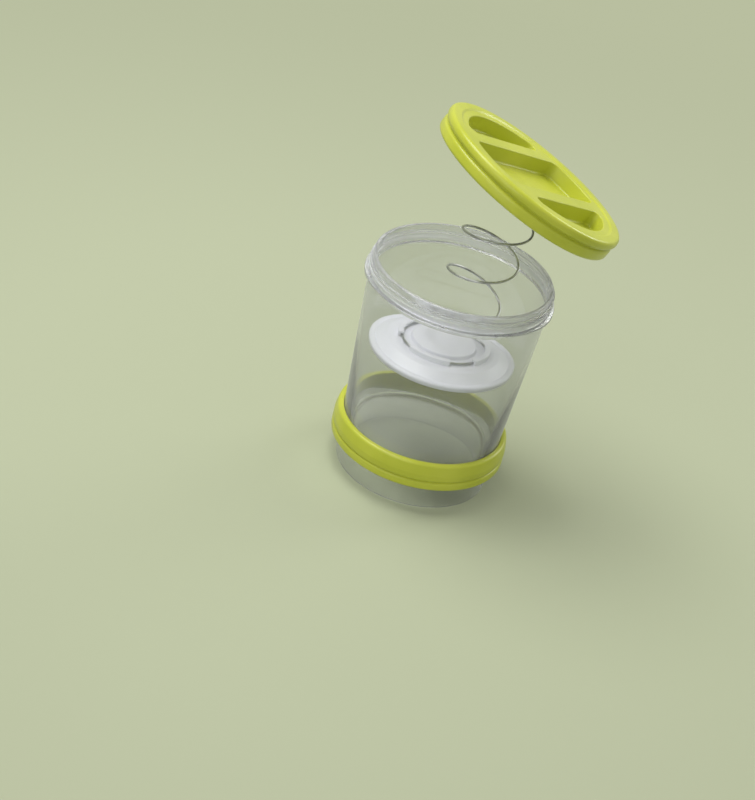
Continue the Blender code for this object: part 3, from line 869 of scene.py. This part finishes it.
PLATE_CORNERS = [
    (0, -12.2, 0), (26, -11.4, 20), (42, -9.4, 8), (PLATE_OUT - 0.5, -8.6, 1.7), (PLATE_OUT, RIM, 1.7),
    (PLATE_OUT - 3.4, RIM, 1.4), (PLATE_OUT - 4.2, -5.1, 1.2), (36.4, -0.7, 4), (33, 0, 3),
    (21.6, 0, 0.7), (20.5, BOSS, 1.1), (0, BOSS, 0),
]
ON_PLATE = Matrix.Translation(JAR_AXIS + Vector((0, 0, PLATE_TOP * MM)))
plate = turned("plate_disc", rounded(PLATE_CORNERS), white, None)
plate_hooks = hook("plate_hooks", PLATE_COIL, 0, 1, SPRING_START - HOOK_HALF, -HOOK_STEP)
joined(plate, plate_hooks)
plate.data.transform(ON_PLATE)
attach(plate, "plate")
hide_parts("press_plate")
report(plate)

# %% [markdown]
# ## Spring seat
# A small white disc clips on the lid's hub and holds the spring's upper coil in three hooks. The lid
# turns on it, so that screwing the lid down doesn't wind up the spring.

# %% Spring seat
FREE_TURNS = 3.9
SEAT_TOP = -12.8
SEAT_COIL = 24.5
SEAT_EDGE = SEAT_COIL + WIRE + GAP + HOOK_WALL
SEAT_LOW = SEAT_TOP - 2.5
SEAT_HOLE = HUB + GAP
SEAT_CORNERS = [
    (SEAT_HOLE, SEAT_LOW, 0.3), (SEAT_EDGE, SEAT_LOW, 0.6), (SEAT_EDGE, SEAT_TOP, 0.6),
    (SEAT_HOLE, SEAT_TOP, 0.3)]
seat = turned("seat_disc", rounded(SEAT_CORNERS), white, None, True)
seat_first = SPRING_START + TURN * FREE_TURNS + HOOK_HALF
seat_hooks = hook("seat_hooks", SEAT_COIL, SEAT_LOW, -1, seat_first, HOOK_STEP)
joined(seat, seat_hooks)
seat.data.transform(ON_LID)
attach(seat, "seat")
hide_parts("spring_seat")
report(seat)

# %% [markdown]
# ## Spring
# One length of drawn wire makes the whole spring: a coil flat on the plate, nearly four open turns that
# lean over with the lid, and a coil in the seat. The tree turns a line of points into round wire. The
# wire is cut into lengths.

# %% Wire path
COIL = 21.0
PLATE_COIL_Z = PLATE_TOP + GAP + WIRE
END_TURNS = 0.85
RAMP_SHARE = 0.03
LEAN = 21 * DEG
STEP_TURNS = 0.2
LEAN_TURNS = 0.6
PLATE_BEND = 0.43
LID_BEND = 0.29
LID_AXIS = Vector((math.sin(LID_TILT), 0, math.cos(LID_TILT)))
SEAT_COIL_DEPTH = 16.4 * MM
SEAT_COIL_MIDDLE = LID_TOP - LID_AXIS * SEAT_COIL_DEPTH


def eased(turn):
    """Share of the height climbed after a number of turns, with a soft start and end."""
    edge = FREE_TURNS * RAMP_SHARE
    whole = FREE_TURNS - edge
    clipped = min(max(turn, 0), FREE_TURNS)
    if clipped < edge:
        return clipped ** 2 / (2 * edge) / whole
    if clipped > FREE_TURNS - edge:
        return 1 - (FREE_TURNS - clipped) ** 2 / (2 * edge) / whole
    return (clipped - edge / 2) / whole


def smooth(share):
    """A share from 0 to 1 with a soft start and end."""
    clipped = min(max(share, 0), 1)
    return clipped * clipped * (3 - 2 * clipped)


def wire_knots():
    """The four knots of the curve that the turns are wound about."""
    low = JAR_AXIS + Vector((0, 0, PLATE_COIL_Z * MM))
    high = SEAT_COIL_MIDDLE
    length = (high - low).length
    lean = Vector((math.sin(LEAN), 0, math.cos(LEAN)))
    return low, low + lean * length * PLATE_BEND, high - LID_AXIS * length * LID_BEND, high


def wire_middle(share):
    """The middle of the turns at a share of the climb."""
    knots = wire_knots()
    rest = 1 - share
    return (knots[0] * rest ** 3 + knots[1] * 3 * rest ** 2 * share
            + knots[2] * 3 * rest * share ** 2 + knots[3] * share ** 3)


def wire_point(turn):
    """The wire's middle after a number of free turns."""
    knots = wire_knots()
    share = eased(turn)
    rest = 1 - share
    middle = wire_middle(share)
    way = ((knots[1] - knots[0]) * rest ** 2 + (knots[2] - knots[1]) * 2 * rest * share
           + (knots[3] - knots[2]) * share ** 2).normalized()
    way = Vector((0, 0, 1)).lerp(way, smooth(turn / LEAN_TURNS)).normalized()
    side = Vector((way.z, 0, -way.x))
    radius = PLATE_COIL + (COIL - PLATE_COIL) * smooth(turn / STEP_TURNS)
    radius += (SEAT_COIL - COIL) * smooth((turn - FREE_TURNS) / STEP_TURNS + 1)
    radius *= MM
    angle = SPRING_START + TURN * turn
    return middle + side * radius * math.cos(angle) + Vector((0, radius * math.sin(angle), 0))


# %% Wire tree
def wire_tree():
    """Turns the edges given as geometry into a round wire."""
    group, tree, source, output = named_inputs("round_wire", [
        ("Wire Radius", FLOAT), ("Sides", WHOLE), ("Finish", "NodeSocketMaterial")])
    path = tree.add("GeometryNodeMeshToCurve", inputs={"Mesh": source.outputs["Geometry"]})
    section = tree.add("GeometryNodeCurvePrimitiveCircle", inputs={
        "Resolution": source.outputs["Sides"], "Radius": source.outputs["Wire Radius"]})
    swept = tree.add("GeometryNodeCurveToMesh", inputs={
        "Curve": path.outputs[0], "Profile Curve": section.outputs[0], "Fill Caps": True})
    end_tree(tree, output, swept.outputs[0])
    return group


WIRE_TREE = wire_tree()
WIRE_SIDES = 16
WIRE_POINTS_PER_TURN = 80
LEAST_POINTS = 8


def wire_length(name, first, last):
    """A length of the wire between two turns."""
    count = max(LEAST_POINTS, round((last - first) * WIRE_POINTS_PER_TURN))
    points = [wire_point(first + (last - first) * step / count) for step in range(count + 1)]
    path = bpy.data.meshes.new(name)
    path.from_pydata(points, [(index, index + 1) for index in range(count)], [])
    piece = bpy.data.objects.new(name, path)
    bpy.context.scene.collection.objects.link(piece)
    set_inputs(piece, WIRE_TREE, {"Wire Radius": WIRE * MM, "Sides": WIRE_SIDES, "Finish": steel})
    weld_piece(plain_copy(piece))
    smooth_shading(piece.data)
    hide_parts("spring")
    return piece


# %% [markdown]
# Each cut carries a share that runs smoothly from 0 to 1, and for each length two planes are worked out,
# where that share would reach the values at its two ends. A bend between planes set across the whole
# stretch would smear the round wire into a ribbon when the stretch gets longer. So the wire is cut into
# quarter turns, and each has its planes square to its own run. Above the split the shares are those that
# stack the turns evenly under the shut lid.

# %% Wire lengths
SPLIT_TURN = 0.75
LOWER_LENGTHS = 4
UPPER_LENGTHS = 12
STACK_BOW = -0.35
SEARCH_STEPS = 30


def share_place(share):
    """Where between its planes a smooth share reaches a value."""
    return 0.5 - math.sin(math.asin(1 - 2 * share) / 3)


def swung_height(point, share):
    """The height of a point after a share of the lid's swing onto the jar."""
    arm = point - SWING_POLE
    angle = LID_TILT * share
    return SWING_POLE.z + arm.x * math.sin(angle) + arm.z * math.cos(angle)


def stack_share(turn):
    """The share of the swing that lays a turn at its place in the stack under the shut lid."""
    part = (turn - SPLIT_TURN) / (FREE_TURNS - SPLIT_TURN)
    bottom = wire_middle(eased(SPLIT_TURN)).z
    top = swung_height(SEAT_COIL_MIDDLE, 1)
    wanted = bottom + (top - bottom) * (part + STACK_BOW * part * (1 - part))
    middle = wire_middle(eased(turn))
    low, high = 0, 1
    for _ in range(SEARCH_STEPS):
        share = (low + high) / 2
        if swung_height(middle, share) > wanted:
            low = share
        else:
            high = share
    return low


def bend_lengths(name, cuts):
    """Makes lengths of wire between cuts of (turn, share) and works out where the planes of each one
    lie.
    """
    for index, ((first, low), (last, high)) in enumerate(zip(cuts, cuts[1:])):
        run = wire_point(last) - wire_point(first)
        start, end = share_place(low), share_place(high)
        origin = wire_point(first) - run * start / (end - start)
        piece = wire_length(f"{name}_{index + 1}", first, last)
        origin + run / (end - start)
        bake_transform(piece)


plate_coil = wire_length("spring_plate_coil", -END_TURNS, 0)
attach(plate_coil, "plate")
seat_coil = wire_length("spring_seat_coil", FREE_TURNS, FREE_TURNS + END_TURNS)
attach(seat_coil, "seat")
lower_cuts = [(SPLIT_TURN * index / LOWER_LENGTHS, smooth(index / LOWER_LENGTHS))
              for index in range(LOWER_LENGTHS + 1)]
upper_turns = [SPLIT_TURN + (FREE_TURNS - SPLIT_TURN) * index / UPPER_LENGTHS
               for index in range(1, UPPER_LENGTHS)]
upper_cuts = [(SPLIT_TURN, 0), *((turn, stack_share(turn)) for turn in upper_turns), (FREE_TURNS, 1)]
bend_lengths("spring_lower", lower_cuts)
bend_lengths("spring_upper", upper_cuts)
print("shares of the swing:", [round(share, 2) for turn, share in upper_cuts])

# %% [markdown]
# ## Floor and light
# The photograph's press is printed on pale green card, so the floor is a plain pale green-grey. It is
# lit like any surface near the press, where it keeps the shadow. Farther off, and in the world above
# it, rays that are seen meet one even tone, so that no horizon shows in the clear plastic. A large lamp
# above gives the soft highlights along the ridges, one fills from the front, a small one lights the
# right edges, and the world fills the rest.

# %% Floor, lamps and world
FLOOR_TONE = (0.435, 0.467, 0.315)
SEEN_TONE = (0.485, 0.52, 0.35)
FLOOR_SIZE = 14
SHADOW_NEAR = 0.3
SHADOW_FAR = 0.9
WORLD_LEVEL = 0.54
WORLD_TINT = (0.97, 0.98, 1)
LAMP_AIM = Vector((0, 0, 0.1))


def watched(tree):
    """A value of 1 on rays that reach the camera directly, off a gloss or through clear plastic."""
    rays = tree.add("ShaderNodeLightPath")
    camera_ray = Value(tree, rays.outputs["Is Camera Ray"])
    return camera_ray.math("MAXIMUM", rays.outputs["Is Glossy Ray"]).math(
        "MAXIMUM", rays.outputs["Is Transmission Ray"])


def make_floor():
    """A wide card that is lit near the press and one even tone farther off."""
    half = FLOOR_SIZE / 2
    mesh = bpy.data.meshes.new("floor")
    corners = [(-half, -half, 0), (half, -half, 0), (half, half, 0), (-half, half, 0)]
    mesh.from_pydata(corners, [], [(0, 1, 2, 3)])
    floor = bpy.data.objects.new("floor", mesh)
    bpy.context.scene.collection.objects.link(floor)
    made, tree, output = new_finish("floor_card")
    lit = tree.add("ShaderNodeBsdfDiffuse", inputs={"Color": (*FLOOR_TONE, 1)})
    even = tree.add("ShaderNodeEmission", inputs={"Color": (*SEEN_TONE, 1), "Strength": 1.0})
    place = tree.add("ShaderNodeTexCoord").outputs["Object"]
    length = tree.add("ShaderNodeVectorMath", {"operation": "LENGTH"}, {0: place})
    distance = tree.value(length, "Value")
    away = climb(distance, SHADOW_NEAR, SHADOW_FAR)
    shader = tree.add("ShaderNodeMixShader", inputs={
        0: away * watched(tree), 1: lit.outputs[0], 2: even.outputs[0]})
    tree.feed(output.inputs["Surface"], shader.outputs[0])
    mesh.materials.append(made)


def lamp(name, place, size, power):
    """A round area lamp that points at the press."""
    data = bpy.data.lights.new(name, "AREA")
    data.shape = "DISK"
    data.size = size
    data.energy = power
    made = bpy.data.objects.new(name, data)
    bpy.context.scene.collection.objects.link(made)
    made.location = place
    made.rotation_mode = "QUATERNION"
    made.rotation_quaternion = (LAMP_AIM - Vector(place)).to_track_quat("-Z", "Y")


def make_world():
    """A pale fill light, which rays that are seen meet as the floor's even tone."""
    world = bpy.data.worlds.new("studio")
    bpy.context.scene.world = world
    world.use_nodes = True
    world.node_tree.nodes.clear()
    tree = Tree(world.node_tree)
    output = tree.add("ShaderNodeOutputWorld")
    fill_light = tree.add("ShaderNodeBackground", inputs={
        "Color": (*WORLD_TINT, 1), "Strength": WORLD_LEVEL})
    seen = tree.add("ShaderNodeBackground", inputs={"Color": (*SEEN_TONE, 1), "Strength": 1.0})
    both = tree.add("ShaderNodeMixShader", inputs={
        0: watched(tree), 1: fill_light.outputs[0], 2: seen.outputs[0]})
    tree.feed(output.inputs["Surface"], both.outputs[0])


make_floor()
lamp("key", place=(-0.35, 0.25, 1.3), size=0.9, power=12)
lamp("fill", place=(-1.0, -1.1, 0.9), size=1.2, power=5)
lamp("edge", place=(1.1, 0.5, 0.7), size=0.6, power=4)
make_world()
